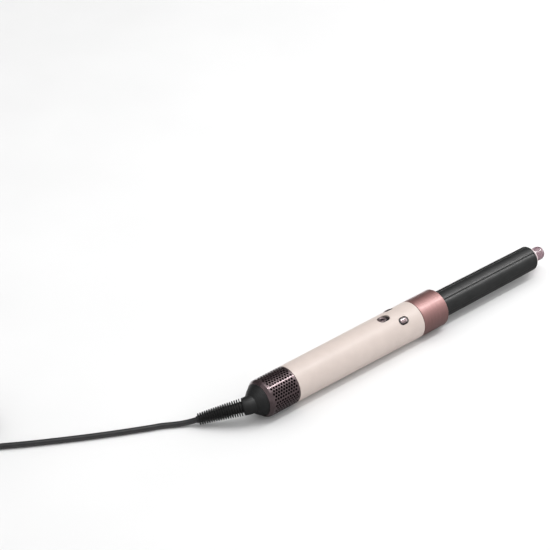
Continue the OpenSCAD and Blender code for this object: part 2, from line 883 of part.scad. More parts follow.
module barrel_slat(index) {
    x_to = x_end - end_ring_len;
    length = x_to - x_base_front;
    color(charcoal) on_axis() translate([x_base_front, 0, 0])
        rotate([slat_phase + (index - 1) * slat_pitch, 0, 0]) rotate([0, 90, 0]) rotate([0, 0, 180])
            linear_extrude(length, scale = barrel_r_end / barrel_r_root)
                polygon(slat_outline(barrel_r_root));
}

module barrel_end_ring() {
    x_from = x_end - end_ring_len;
    color(charcoal) lathe(concat(
        [[hub_r + run_gap, x_from], [barrel_r_end, x_from]],
        corner(barrel_r_end - end_fillet, x_end - end_fillet, end_fillet, 0, 90),
        [[hub_r + run_gap, x_end]]));
}

// The inner sleeve that turns with the tip and opens one edge of every slot
module diverter_sleeve() {
    x_from = x_base_front + 5;
    x_to = x_end - end_ring_len - 5;
    rim = 6;
    hub_out = 3.6;
    color(inner_grey) {
        difference() {
            tube(x_from, x_to, diverter_r, diverter_r - diverter_t);
            for (i = [0 : slat_count - 1])
                station((x_from + x_to) / 2, slat_phase + i * slat_pitch)
                    block([x_to - x_from - 2 * rim, window_w], diverter_r - 2, diverter_r + 1);
        }
        for (x = [x_from, x_to - 3]) {
            tube(x, x + 3, hub_out, spindle_r);
            spokes(x, x + 3, hub_out - 0.2, diverter_r - diverter_t + 0.2);
        }
    }
}

module tip_spindle() {
    color("silver") rod(x_base_front - 8, x_end + 4, spindle_r);
}

// The rubber washer inside the barrel's end
module tip_seal() {
    x_to = x_end - end_ring_len;
    color(black_rubber) tube(x_to - 1.4, x_to, 7, hub_r + 0.1);
}

// The clip that keeps the tip from pulling out
module tip_clip() {
    x_to = x_end - end_ring_len - 1.6;
    color("silver") tube(x_to - 1, x_to, 6, hub_r);
}

module tip_collar() {
    x_from = x_end + 0.2;
    color(pale_rose) lathe([
        [hub_r, x_from], [collar_tip_r, x_from], [collar_tip_r, x_from + 0.6],
        [tip_r + 0.1, x_from + 2.6], [hub_r, x_from + 2.6]
    ]);
}

// The knob at the end of the barrel, on a hub that goes back through the end ring
module direction_tip() {
    x_from = x_end + 2.8;
    x_hub = x_end - end_ring_len - 2.8;
    bore_to = x_end + 4;
    color(pale_rose) lathe(concat(
        [[spindle_r, x_hub], [hub_r, x_hub], [hub_r, x_from], [tip_r, x_from]],
        corner(0, x_tip - tip_r, tip_r, 0, 90, 12),
        [[0, bore_to], [spindle_r, bore_to]]));
}

handle_shell();
inner_frame();
filter_cage();
filter_mesh();
cord_cone();
strain_relief();
cord_run();
cord_coil();
cord_end();
cord_tie();
plug_body();
plug_pins();
mains_leads();
motor_shroud();
motor_mounts();
motor_can();
stator_core();
stator_windings();
motor_bearings();
motor_shaft();
rotor_magnet();
impeller();
main_board();
board_parts();
heater_leads();
heater_former();
heater_wire();
heater_sleeve();
thermal_fuse();
thermistor();
control_board();
control_switches();
control_ribbon();
slider_bed();
power_slider();
airflow_button();
temperature_button();
release_slider();
release_spring();
latch_spring();
socket_seal();
barrel_neck();
collar_ring();
barrel_base();
base_screws();
barrel_slat(1);  // barrel_slat_1
barrel_slat(2);  // barrel_slat_2
barrel_slat(3);  // barrel_slat_3
barrel_slat(4);  // barrel_slat_4
barrel_slat(5);  // barrel_slat_5
barrel_slat(6);  // barrel_slat_6
barrel_end_ring();
diverter_sleeve();
tip_spindle();
tip_seal();
tip_clip();
tip_collar();
direction_tip();
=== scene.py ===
"""Visual model of a corded hot-air hair styler with its curling barrel fitted, on a pale studio floor.

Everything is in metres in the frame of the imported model: X runs along the tool towards the tip
and Z is up. Angles round the tool are in degrees: 0 is the top and 90 is the side of the controls'
front button, towards -Y.
"""
import json
import math

import bmesh
import bpy
from mathutils import Matrix, Vector


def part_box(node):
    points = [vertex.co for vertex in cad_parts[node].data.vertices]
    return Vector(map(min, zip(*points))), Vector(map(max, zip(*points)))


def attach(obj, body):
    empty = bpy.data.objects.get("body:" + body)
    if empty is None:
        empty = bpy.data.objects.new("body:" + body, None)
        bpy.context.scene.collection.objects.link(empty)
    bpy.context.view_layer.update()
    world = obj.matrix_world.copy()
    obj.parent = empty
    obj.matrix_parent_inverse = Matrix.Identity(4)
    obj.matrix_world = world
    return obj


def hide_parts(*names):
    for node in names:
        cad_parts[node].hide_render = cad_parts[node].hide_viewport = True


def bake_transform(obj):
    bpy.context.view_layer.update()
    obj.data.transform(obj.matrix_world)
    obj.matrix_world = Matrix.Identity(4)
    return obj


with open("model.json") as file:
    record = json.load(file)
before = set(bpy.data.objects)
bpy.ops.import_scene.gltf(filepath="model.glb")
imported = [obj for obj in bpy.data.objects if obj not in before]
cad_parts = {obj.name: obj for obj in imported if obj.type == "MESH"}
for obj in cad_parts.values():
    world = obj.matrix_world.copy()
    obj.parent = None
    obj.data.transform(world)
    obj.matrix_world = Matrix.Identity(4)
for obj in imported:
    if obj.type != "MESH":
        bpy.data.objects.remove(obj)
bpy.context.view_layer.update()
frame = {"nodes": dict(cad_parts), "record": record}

# ---- Where the CAD model has its pieces ----

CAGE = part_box("filter_cage")
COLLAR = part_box("collar_ring")
END_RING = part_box("barrel_end_ring")
AXIS_Z = (COLLAR[0].z + COLLAR[1].z) / 2
X_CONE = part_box("cord_cone")[0].x
X_CAGE, X_CAGE_END = CAGE[0].x, CAGE[1].x
X_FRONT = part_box("handle_shell")[1].x
X_COLLAR, X_BARREL = COLLAR[0].x, COLLAR[1].x
X_END = END_RING[1].x
X_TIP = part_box("direction_tip")[1].x


def around(x, radius, angle):
    """A point on the tool at a distance along its axis, a radius and an angle."""
    a = math.radians(angle)
    return Vector((x, -radius * math.sin(a), AXIS_Z + radius * math.cos(a)))


def station(x, angle):
    """The frame of a spot on the tool: its Z leads outwards from the axis, its X along the tool."""
    return Matrix.Translation((x, 0, AXIS_Z)) @ Matrix.Rotation(math.radians(angle), 4, "X")


# ---- Camera ----

CAMERA_AIM = Vector((-0.0424, 0.1625, 0.021))
CAMERA_DISTANCE = 2.2722
CAMERA_HEADING = 48.70
CAMERA_PITCH = 33.42
CAMERA_LENS = 133.7


def add_camera():
    heading, pitch = math.radians(CAMERA_HEADING), math.radians(CAMERA_PITCH)
    ahead = Vector((math.cos(pitch) * math.cos(heading), math.cos(pitch) * math.sin(heading),
                    -math.sin(pitch)))
    camera = bpy.data.objects.new("camera", bpy.data.cameras.new("camera"))
    camera.data.lens = CAMERA_LENS
    camera.data.sensor_width = 36
    camera.location = CAMERA_AIM - CAMERA_DISTANCE * ahead
    camera.rotation_euler = ahead.to_track_quat("-Z", "Y").to_euler()
    bpy.context.scene.collection.objects.link(camera)
    bpy.context.scene.camera = camera


add_camera()

# ---- Making pieces ----


def piece(name, verts, faces, body, slot, replaced=(), sharp=40, even=False):
    """A mesh piece that rides on a CAD body, if one is given, and takes the place of CAD nodes."""
    mesh = bpy.data.meshes.new(name)
    mesh.from_pydata([tuple(v) for v in verts], [], faces)
    shape = bmesh.new()
    shape.from_mesh(mesh)
    bmesh.ops.remove_doubles(shape, verts=shape.verts, dist=1e-6)
    bmesh.ops.recalc_face_normals(shape, faces=shape.faces)
    shape.to_mesh(mesh)
    shape.free()
    mesh.shade_smooth()
    mesh.set_sharp_from_angle(angle=math.radians(sharp))
    made = bpy.data.objects.new(name, mesh)
    bpy.context.scene.collection.objects.link(made)
    if even:
        made.modifiers.new("even_normals", "WEIGHTED_NORMAL").keep_sharp = True
    if body:
        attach(made, body)
    if replaced:
        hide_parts(*replaced)
    mesh.materials.append(finish_of(slot))
    return made


def circle_steps(count):
    """Angles in radians that are evenly spaced round a circle."""
    return [2 * math.pi * k / count for k in range(count)]


def ring_faces(rings, sides, caps=True):
    """Faces that join rings of points in a row, and close the row's two ends."""
    faces = []
    for i in range(rings - 1):
        for k in range(sides):
            j = (k + 1) % sides
            faces.append([i * sides + k, i * sides + j, (i + 1) * sides + j, (i + 1) * sides + k])
    if caps:
        faces += [list(range(sides)), [(rings - 1) * sides + k for k in range(sides)]]
    return faces


def headings(path):
    return [(path[min(i + 1, len(path) - 1)] - path[max(i - 1, 0)]).normalized()
            for i in range(len(path))]


def tube_mesh(path, radii, sides, along=None, caps=True):
    """A round section of changing radius swept along a path that never stands upright."""
    verts = []
    for point, radius, ahead in zip(path, radii, along or headings(path)):
        side = ahead.cross(Vector((0, 0, 1))).normalized()
        up = side.cross(ahead)
        verts += [point + radius * (math.cos(a) * side + math.sin(a) * up) for a in circle_steps(sides)]
    return verts, ring_faces(len(path), sides, caps)


def rounded(corners, closed=True, steps=4):
    """An outline of (x, r, fillet) corners, with each fillet drawn as a short curve."""
    outline = []
    for i, (x, r, fillet) in enumerate(corners):
        here = Vector((x, r))
        if not fillet or (not closed and i in (0, len(corners) - 1)):
            outline.append(here)
            continue
        before = Vector(corners[i - 1][:2]) - here
        after = Vector(corners[(i + 1) % len(corners)][:2]) - here
        half = before.angle(after) / 2
        back = min(fillet / math.tan(half), 0.49 * before.length, 0.49 * after.length)
        a, b = here + back * before.normalized(), here + back * after.normalized()
        for k in range(steps + 1):
            t = k / steps
            outline.append((1 - t) ** 2 * a + 2 * t * (1 - t) * here + t ** 2 * b)
    return outline


def lathe_mesh(outline, closed=True, steps=128):
    """An outline of (x, r) points turned about the tool's axis."""
    verts, faces, rings = [], [], []
    for x, r in outline:
        count = steps if r > 1e-6 else 1
        rings.append(range(len(verts), len(verts) + count))
        verts += [around(x, r, 360 * i / count) for i in range(count)]
    following = rings[1:] + (rings[:1] if closed else [])
    for a, b in zip(rings, following):
        for i in range(steps):
            j = (i + 1) % steps
            face = [a[i % len(a)], a[j % len(a)], b[j % len(b)], b[i % len(b)]]
            face = list(dict.fromkeys(face))
            if len(face) > 2:
                faces.append(face)
    return verts, faces


def cornered_mesh(corner_lists):
    """Faces given as lists of (x, angle, radius) corners on the tool."""
    verts, faces = [], []
    for corners in corner_lists:
        faces.append(list(range(len(verts), len(verts) + len(corners))))
        verts += [around(x, r, angle) for x, angle, r in corners]
    return verts, faces


def thick_sheet(under, upper, closed):
    """A sheet with two sides, each given as rows of points, whose rows may run in a closed loop."""
    rows, width = len(under), len(under[0])
    verts = [point for row in under + upper for point in row]
    up = rows * width
    faces = []
    for i in range(rows if closed else rows - 1):
        a, b = i * width, (i + 1) % rows * width
        for low in (0, up):
            faces += [[low + a + j, low + a + j + 1, low + b + j + 1, low + b + j]
                      for j in range(width - 1)]
        faces += [[a + j, b + j, up + b + j, up + a + j] for j in (0, width - 1)]
    if not closed:
        for a in (0, (rows - 1) * width):
            faces += [[a + j, a + j + 1, up + a + j + 1, up + a + j] for j in range(width - 1)]
    return verts, faces


def joined(*meshes):
    """Several lists of vertices and faces as one."""
    verts, faces = [], []
    for more_verts, more_faces in meshes:
        faces += [[i + len(verts) for i in face] for face in more_faces]
        verts += more_verts
    return verts, faces


# ---- Materials ----


class Graph:
    """A material whose pattern comes from nodes, in the object's own coordinates."""

    def __init__(self, name, rough, **sockets):
        self.material = bpy.data.materials.new(name)
        self.material.use_nodes = True
        self.nodes = self.material.node_tree.nodes
        self.links = self.material.node_tree.links
        self.shader = self.nodes["Principled BSDF"]
        self.shader.inputs["Roughness"].default_value = rough
        for socket, value in sockets.items():
            self.shader.inputs[socket.replace("_", " ")].default_value = value
        self.place = self.nodes.new("ShaderNodeTexCoord").outputs["Object"]

    def stretched(self, scale):
        mapping = self.nodes.new("ShaderNodeMapping")
        mapping.inputs["Scale"].default_value = scale
        self.links.new(self.place, mapping.inputs["Vector"])
        return mapping.outputs["Vector"]

    def noise(self, scale, detail, stretch=(1, 1, 1)):
        node = self.nodes.new("ShaderNodeTexNoise")
        node.inputs["Scale"].default_value = scale
        node.inputs["Detail"].default_value = detail
        self.links.new(self.stretched(stretch), node.inputs["Vector"])
        return node.outputs["Fac"]

    def wave(self, scale, direction):
        node = self.nodes.new("ShaderNodeTexWave")
        node.bands_direction = direction
        node.inputs["Scale"].default_value = scale
        self.links.new(self.place, node.inputs["Vector"])
        return node.outputs["Fac"]

    def multiply(self, a, b):
        node = self.nodes.new("ShaderNodeMath")
        node.operation = "MULTIPLY"
        self.links.new(a, node.inputs[0])
        self.links.new(b, node.inputs[1])
        return node.outputs["Value"]

    def colour(self, value, dark, light, low=0.35, high=0.65):
        node = self.nodes.new("ShaderNodeValToRGB")
        for element, at, shade in zip(node.color_ramp.elements, (low, high), (dark, light)):
            element.position = at
            element.color = (*shade, 1)
        self.links.new(value, node.inputs["Fac"])
        self.links.new(node.outputs["Color"], self.shader.inputs["Base Color"])

    def roughness(self, value, low, high):
        node = self.nodes.new("ShaderNodeMapRange")
        node.inputs["To Min"].default_value = low
        node.inputs["To Max"].default_value = high
        self.links.new(value, node.inputs["Value"])
        self.links.new(node.outputs["Result"], self.shader.inputs["Roughness"])

    def bump(self, value, depth):
        node = self.nodes.new("ShaderNodeBump")
        node.inputs["Distance"].default_value = depth
        self.links.new(value, node.inputs["Height"])
        self.links.new(node.outputs["Normal"], self.shader.inputs["Normal"])


def painted(name, dark, light, rough, grain=1800, grain_depth=0.00002, **sockets):
    """Satin paint or moulded plastic: slight mottling, a fine even grain and uneven gloss."""
    graph = Graph(name, rough[0], Coat_Roughness=0.12, **sockets)
    graph.colour(graph.noise(90, 2), dark, light)
    graph.roughness(graph.noise(260, 4), *rough)
    graph.bump(graph.noise(grain, 2), grain_depth)
    return graph.material


def turned_metal(name, dark, light, rough, lines=9000, depth=0.000004, **sockets):
    """Metal with the fine lines of turning round the tool's axis."""
    graph = Graph(name, rough[0], Metallic=1.0, **sockets)
    graph.colour(graph.noise(1, 3, (lines / 3, 60, 60)), dark, light)
    graph.roughness(graph.noise(1, 4, (lines / 2, 90, 90)), *rough)
    graph.bump(graph.noise(1, 2, (lines, 40, 40)), depth)
    return graph.material


def moulded_rubber(name, dark, light, rough, grain=1400, depth=0.00005):
    graph = Graph(name, rough[0], Specular_IOR_Level=0.5)
    graph.colour(graph.noise(140, 3), dark, light)
    graph.roughness(graph.noise(320, 4), *rough)
    graph.bump(graph.noise(grain, 3), depth)
    return graph.material


def woven(name, dark, light, pitch, depth, **sockets):
    """Two crossed sets of threads."""
    graph = Graph(name, 0.6, **sockets)
    cross = graph.multiply(graph.wave(1 / pitch, "X"), graph.wave(1 / pitch, "DIAGONAL"))
    graph.colour(cross, dark, light, 0.15, 0.75)
    graph.bump(cross, depth)
    return graph.material


def clear_plastic(name, dark, light, rough, **sockets):
    """Tinted see-through plastic with a faint unevenness."""
    graph = Graph(name, rough[0], IOR=1.46, **sockets)
    graph.colour(graph.noise(120, 2), dark, light)
    graph.roughness(graph.noise(300, 3), *rough)
    return graph.material


# How each material slot is made, with its darker and lighter shade
FINISHES = {
    "handle_shell": (painted, dict(dark=(0.580, 0.497, 0.456), light=(0.603, 0.517, 0.475),
                                   rough=(0.38, 0.46), Coat_Weight=0.05)),
    "cage": (painted, dict(dark=(0.115, 0.078, 0.084), light=(0.145, 0.100, 0.107),
                           rough=(0.20, 0.26), Coat_Weight=0.8, Metallic=0.8)),
    "rose_gold": (turned_metal, dict(dark=(0.37, 0.170, 0.160), light=(0.44, 0.207, 0.196),
                                     rough=(0.52, 0.60), Coat_Weight=1.0, Coat_Roughness=0.36,
                                     Coat_IOR=1.9)),
    "barrel_metal": (painted, dict(dark=(0.010, 0.0105, 0.0105), light=(0.015, 0.0155, 0.0155),
                                   rough=(0.33, 0.41), grain=2600, grain_depth=0.000006)),
    "black_rubber": (moulded_rubber, dict(dark=(0.005, 0.0052, 0.0054), light=(0.009, 0.0093, 0.0096),
                                          rough=(0.46, 0.56))),
    "cord_jacket": (moulded_rubber, dict(dark=(0.012, 0.012, 0.013), light=(0.019, 0.019, 0.020),
                                         rough=(0.32, 0.42))),
    "seal_rubber": (moulded_rubber, dict(dark=(0.30, 0.045, 0.03), light=(0.38, 0.06, 0.04),
                                         rough=(0.45, 0.6))),
    "control_gloss": (painted, dict(dark=(0.27, 0.20, 0.207), light=(0.33, 0.25, 0.257),
                                    rough=(0.12, 0.18), grain=900, grain_depth=0.000008,
                                    Coat_Weight=0.4, Metallic=0.75)),
    # Near-black; on the rims of the buttons and of the power slider it is painted shade for the gap round
    # their caps.
    "control_dark": (painted, dict(dark=(0.008, 0.005, 0.006), light=(0.014, 0.009, 0.010),
                                   rough=(0.16, 0.24), Coat_Weight=0.3)),
    "tip_clear": (clear_plastic, dict(dark=(0.31, 0.205, 0.235), light=(0.39, 0.265, 0.30),
                                      rough=(0.05, 0.12), Transmission_Weight=0.6, Coat_Weight=0.5)),
    "tip_collar": (painted, dict(dark=(0.70, 0.585, 0.59), light=(0.76, 0.64, 0.645),
                                 rough=(0.16, 0.24), Coat_Weight=0.4)),
    # The filter screen is dark, and darker still as painted shade, so that the cage's holes in front of it
    # look shaded.
    "mesh": (woven, dict(dark=(0.004, 0.004, 0.004), light=(0.03, 0.03, 0.031), pitch=0.0006,
                         depth=0.00008, Metallic=0.9)),
    "strap": (woven, dict(dark=(0.006, 0.006, 0.007), light=(0.022, 0.022, 0.024), pitch=0.0009,
                          depth=0.00015, Sheen_Weight=0.3)),
}
INNER_METALS = {
    "plated_metal": ((0.58, 0.57, 0.55), (0.68, 0.67, 0.65)),
    "motor_metal": ((0.55, 0.55, 0.57), (0.63, 0.63, 0.65)),
    "steel": ((0.42, 0.42, 0.43), (0.52, 0.52, 0.53)),
    "copper": ((0.55, 0.20, 0.09), (0.66, 0.28, 0.14)),
    "heating_wire": ((0.24, 0.23, 0.23), (0.33, 0.32, 0.31)),
}
INNER_PLASTICS = {
    "inner_plastic": ((0.075, 0.080, 0.088), (0.10, 0.105, 0.115)),
    "impeller_plastic": ((0.018, 0.018, 0.020), (0.027, 0.027, 0.030)),
    "wire_insulation": ((0.12, 0.03, 0.016), (0.16, 0.04, 0.022)),
    "circuit_board": ((0.010, 0.055, 0.026), (0.016, 0.080, 0.040)),
    "component": ((0.010, 0.010, 0.012), (0.020, 0.020, 0.023)),
    "mica": ((0.42, 0.32, 0.20), (0.56, 0.45, 0.30)),
    "fuse_ceramic": ((0.72, 0.72, 0.69), (0.80, 0.80, 0.77)),
    "ribbon_film": ((0.42, 0.18, 0.035), (0.52, 0.24, 0.05)),
    "barrel_plastic": ((0.010, 0.010, 0.011), (0.018, 0.018, 0.020)),
}
for metal, (dark, light) in INNER_METALS.items():
    FINISHES[metal] = (turned_metal, dict(dark=dark, light=light, rough=(0.22, 0.34), lines=5000))
for plastic, (dark, light) in INNER_PLASTICS.items():
    FINISHES[plastic] = (painted, dict(dark=dark, light=light, rough=(0.40, 0.52)))
MATERIALS = {}


def finish_of(slot):
    if slot not in MATERIALS:
        maker, values = FINISHES[slot]
        MATERIALS[slot] = maker(slot, **values)
    return MATERIALS[slot]


def finish_cad_nodes():
    for part in frame["record"]["subparts"]:
        node = frame["nodes"][part["node"]]
        node.data.materials.clear()
        node.data.materials.append(finish_of(part["material_slot"]))


finish_cad_nodes()

# ---- Cord: the route and the coil that the CAD model gives, in metres ----

CORD_R = 0.003
RELIEF_CURVE = [Vector(p) for p in (
    (X_CONE - 0.004, 0, AXIS_Z), (-0.2356, 0.0075, 0.0187), (-0.2489, 0.0199, 0.0122),
    (-0.264, 0.0305, 0.0067))]
CORD_ROUTE = [Vector(p) for p in (
    (-0.264, 0.0305, 0.0067), (-0.270, 0.0345, 0.0049), (-0.277, 0.0391, 0.0036),
    (-0.2845, 0.0441, 0.003), (-0.294, 0.050, 0.003), (-0.304, 0.0548, 0.003),
    (-0.318, 0.0618, 0.003), (-0.337, 0.0717, 0.003), (-0.357, 0.0826, 0.003),
    (-0.377, 0.094, 0.003), (-0.397, 0.1058, 0.003), (-0.417, 0.118, 0.003),
    (-0.437, 0.131, 0.003), (-0.457, 0.144, 0.003), (-0.477, 0.157, 0.003))]
COIL_CENTRE = Vector((-0.456, 0.190, 0))
COIL_START = -123
COIL_TURNS = 11
COIL_R, COIL_Z = 0.039, 0.003
LAY = 2 * CORD_R
COIL_HOLE_R, COIL_OUTER_R, COIL_TOP = COIL_R - 2 * LAY - CORD_R, COIL_R + CORD_R, 4 * LAY
# Where the wound cord moves over to the next layer or column: (turn, from and to degrees of that
# turn, change of radius, change of height). Each kind of move has a sector of the coil to itself.
COIL_MOVES = ([(turn, 300, 360, 0, LAY) for turn in (0, 1, 2)]
              + [(3, 230, 300, -LAY, 0)]
              + [(turn, 165, 230, 0, -LAY) for turn in (4, 5, 6)]
              + [(7, 80, 165, -LAY, 0)]
              + [(turn, 0, 80, 0, LAY) for turn in (8, 9, 10)])
CORD_END_ROUTE = [Vector(p) for p in (
    (-0.4707, 0.1674, 0.021), (-0.4761, 0.1719, 0.0223), (-0.4801, 0.1777, 0.0248),
    (-0.4822, 0.1844, 0.0278), (-0.4822, 0.1914, 0.0306), (-0.480, 0.1975, 0.0325))]


def bezier(p, t):
    return ((1 - t) ** 3 * p[0] + 3 * t * (1 - t) ** 2 * p[1]
            + 3 * t * t * (1 - t) * p[2] + t ** 3 * p[3])


def through(points, steps):
    """A smooth line through points, with so many steps between each two."""
    ends = [2 * points[0] - points[1]] + list(points) + [2 * points[-1] - points[-2]]
    line = []
    for a, b, c, d in zip(ends, ends[1:], ends[2:], ends[3:]):
        for k in range(steps):
            t = k / steps
            line.append(0.5 * (2 * b + (c - a) * t + (2 * a - 5 * b + 4 * c - d) * t * t
                               + (3 * b - a - 3 * c + d) * t ** 3))
    return line + [points[-1].copy()]


def clamped(t):
    return min(max(t, 0), 1)


def smooth_step(t):
    t = clamped(t)
    return t * t * (3 - 2 * t)


def at_coil(radius, angle, height):
    """A point at a radius, an angle in degrees and a height from the foot of the coil's axis."""
    a = math.radians(angle)
    return COIL_CENTRE + Vector((radius * math.cos(a), radius * math.sin(a), height))


def coil_line(per_turn=60):
    """The wound part, from the coil's outer foot to its inner top."""
    line = []
    for k in range(COIL_TURNS * per_turn):
        turned = 360 * k / per_turn
        r, z = COIL_R, COIL_Z
        for turn, low, high, wider, higher in COIL_MOVES:
            eased = (1 - math.cos(math.pi * clamped((turned - 360 * turn - low) / (high - low)))) / 2
            r += wider * eased
            z += higher * eased
        line.append(at_coil(r, COIL_START - turned, z))
    return line


def cord_line():
    inside = [bezier(RELIEF_CURVE, k / 24) for k in range(24)]
    return inside + through(CORD_ROUTE, 5)[:-1] + coil_line() + through(CORD_END_ROUTE, 5)


def add_cord(line):
    return piece("mains_cord", *tube_mesh(line, [CORD_R] * len(line), 16), "handle", "cord_jacket",
                 ("cord_run", "cord_coil", "cord_end"), sharp=60)


# ---- Strain relief: a smooth collar, and then a row of thin fins on a slimmer core ----

RELIEF_R = 0.0100
COLLAR_TAPER, FIN_TAPER = 0.0008, 0.0032
FINS_FROM = 0.0098
FIN_PITCH, FIN_COUNT = 0.00245, 19
FIN_DEPTH, FIN_EDGE = 0.0032, 0.0004
CORE_R_MIN = 0.0036
RELIEF_END = [0.0038, 0.0031]


def relief_line(steps=400):
    """Points evenly spaced along the strain relief, from the cone to its end, and its length."""
    raw = [Vector((X_CONE, 0, AXIS_Z))] + [bezier(RELIEF_CURVE, k / 200) for k in range(201)]
    reach = [0]
    for a, b in zip(raw, raw[1:]):
        reach.append(reach[-1] + (b - a).length)
    line, i = [], 0
    for k in range(steps + 1):
        s = reach[-1] * k / steps
        while i < len(raw) - 2 and reach[i + 1] < s:
            i += 1
        line.append(raw[i].lerp(raw[i + 1], clamped((s - reach[i]) / (reach[i + 1] - reach[i]))))
    return line, reach[-1]


def relief_profile(length):
    """The relief's outline, as (distance from its start, radius)."""
    def outer(s):
        return (RELIEF_R - COLLAR_TAPER * min(s / FINS_FROM, 1)
                - FIN_TAPER * max(0, (s - FINS_FROM) / (length - FINS_FROM)))

    profile = [(s, outer(s)) for s in (0, 0.004, 0.008)]
    profile += [(FINS_FROM - 0.0012, outer(FINS_FROM)), (FINS_FROM - 0.0006, outer(FINS_FROM) - 0.0002)]
    for k in range(FIN_COUNT):
        s = FINS_FROM + k * FIN_PITCH
        top = outer(s + 0.0008)
        core = max(CORE_R_MIN, top - FIN_DEPTH)
        profile += [(s, core), (s + 0.00122, core), (s + 0.00132, top - FIN_EDGE), (s + 0.00150, top),
                    (s + 0.00208, top), (s + 0.00228, top - FIN_EDGE), (s + FIN_PITCH, core)]
    return profile + [(length, r) for r in RELIEF_END]


def add_strain_relief():
    """The relief's rings stand square to its line, so that rings at one place stay flat together."""
    line, length = relief_line()
    last = len(line) - 1
    path, radii, along = [], [], []
    for s, radius in relief_profile(length):
        at = min(s / length, 1) * last
        i = min(int(at), last - 1)
        path.append(line[i].lerp(line[i + 1], at - i))
        radii.append(radius)
        along.append((line[min(i + 3, last)] - line[max(i - 3, 0)]).normalized())
    return piece("ribbed_strain_relief", *tube_mesh(path, radii, 48, along, caps=False), "handle",
                 "black_rubber", ("strain_relief",), sharp=50)


# ---- Strap round the coil: one turn, with its tail pressed down over itself ----

TIE_ANGLE, TIE_SPAN = -35, 20
TIE_THICK, TIE_CLEAR, TIE_CORNER = 0.0008, 0.0002, 0.0022


def strap_section(grow):
    """Points round the bundle of turns, as (radius, height), that stand off it by a distance."""
    r0, r1 = COIL_HOLE_R - TIE_CLEAR + TIE_CORNER, COIL_OUTER_R + TIE_CLEAR - TIE_CORNER
    z0, z1 = TIE_THICK + TIE_CORNER, COIL_TOP + TIE_CLEAR - TIE_CORNER
    points = []
    for quarter, (r, z) in enumerate([(r1, z1), (r0, z1), (r0, z0), (r1, z0)]):
        for k in range(7):
            a = math.radians(90 * quarter + 15 * k)
            points.append((r + (TIE_CORNER + grow) * math.cos(a), z + (TIE_CORNER + grow) * math.sin(a)))
    return points


def strap_rows(section, span, across):
    """A row of points across the strap for each point of its section."""
    return [[at_coil(r, TIE_ANGLE + span * (j / across - 0.5), z) for j in range(across + 1)]
            for r, z in section]


def tie_tail(section):
    """The strap's end, lying over the strap from the coil's outer side up to its top."""
    middle = at_coil((COIL_HOLE_R + COIL_OUTER_R) / 2, TIE_ANGLE, COIL_TOP / 2)
    under = strap_rows(section, 0.88 * TIE_SPAN, 8)
    upper = []
    for row in under:
        upper.append([])
        for here in row:
            sideways = Vector((0, 0, 1)).cross(here - COIL_CENTRE).normalized()
            out = here - middle
            out -= out.dot(sideways) * sideways
            upper[-1].append(here + 0.7 * TIE_THICK * out.normalized())
    return thick_sheet(under, upper, closed=False)


def add_cord_tie():
    inner, outer = strap_section(0), strap_section(TIE_THICK)
    turn = thick_sheet(strap_rows(inner, TIE_SPAN, 10), strap_rows(outer, TIE_SPAN, 10), closed=True)
    tail = tie_tail(outer[-2:] + outer[:9])
    return piece("cord_strap", *joined(turn, tail), "handle", "strap", ("cord_tie",), sharp=50)


# ---- Plug: a moulded body with a ribbed tail, a waist to grip and a flat face, and two pins ----

PLUG_YAW = 57
PLUG_TAIL = 0.014
PLUG_SIZE = Vector((0.034, 0.036, 0.017))
PLUG_FACE = PLUG_TAIL + PLUG_SIZE.x
PIN_R, PIN_LENGTH, PIN_SPACING = 0.0024, 0.019, 0.019
# Where the cord meets the plug, with local X towards the pins
AT_PLUG = Matrix.Translation(CORD_END_ROUTE[-1]) @ Matrix.Rotation(math.radians(PLUG_YAW), 4, "Z")


def add_plug_body():
    wide, high = PLUG_SIZE.y / 2, PLUG_SIZE.z / 2
    ribs = [(0.0000, 0.0034), (0.0018, 0.0038), (0.0022, 0.0030), (0.0034, 0.0030), (0.0038, 0.0042),
            (0.0056, 0.0044), (0.0060, 0.0032), (0.0072, 0.0032), (0.0076, 0.0048), (0.0094, 0.0050),
            (0.0098, 0.0036), (0.0110, 0.0038)]
    stops = [(x, r, r) for x, r in ribs]
    stops += [(0.0122, 0.0056, 0.0054), (0.0140, 0.0080, 0.0064), (0.0170, 0.0120, 0.0076),
              (0.0215, 0.0152, high - 0.0004), (0.0270, 0.0163, high), (0.0330, 0.0160, high),
              (0.0390, 0.0168, high), (0.0430, wide, high), (PLUG_FACE - 0.0016, wide, high),
              (PLUG_FACE - 0.0006, wide - 0.0003, high - 0.0003),
              (PLUG_FACE, wide - 0.0010, high - 0.0010)]
    sides = 64
    verts = []
    for x, half_width, half_height in stops:
        power = 2 / (2 + 3 * smooth_step((x - 0.012) / 0.012))
        for a in circle_steps(sides):
            c, s = math.cos(a), math.sin(a)
            verts.append(AT_PLUG @ Vector((x, half_width * math.copysign(abs(c) ** power, c),
                                           half_height * math.copysign(abs(s) ** power, s))))
    return piece("moulded_plug", verts, ring_faces(len(stops), sides), "handle", "black_rubber",
                 ("plug_body",), sharp=50)


def pin_pair(outline):
    """A shape of (x, radius) stops for each of the two pins, from the plug's face outwards."""
    pair = []
    for side in (-1, 1):
        place = AT_PLUG @ Matrix.Translation((PLUG_FACE, side * PIN_SPACING / 2, 0))
        pair.append(tube_mesh([place @ Vector((x, 0, 0)) for x, _ in outline],
                              [r for _, r in outline], 24))
    return joined(*pair)


def add_plug():
    """The plug's body, its pins and the sleeves round their roots."""
    bare = PIN_R - 0.0002
    pins = pin_pair([(0, bare), (0.016, bare), (0.0172, bare - 0.0001), (0.0182, bare - 0.0006),
                     (0.0188, bare - 0.0013), (PIN_LENGTH, 0.0002)])
    sleeves = pin_pair([(-0.0006, PIN_R), (0.0098, PIN_R), (0.0100, bare)])
    return (add_plug_body(),
            piece("plug_pin_pair", *pins, "handle", "plated_metal", ("plug_pins",), sharp=50),
            piece("plug_pin_sleeves", *sleeves, "handle", "black_rubber", sharp=50))


CORD_LINE = cord_line()
cord = add_cord(CORD_LINE)
relief = add_strain_relief()
strap = add_cord_tie()
add_plug()

# ---- Cage and cone ----

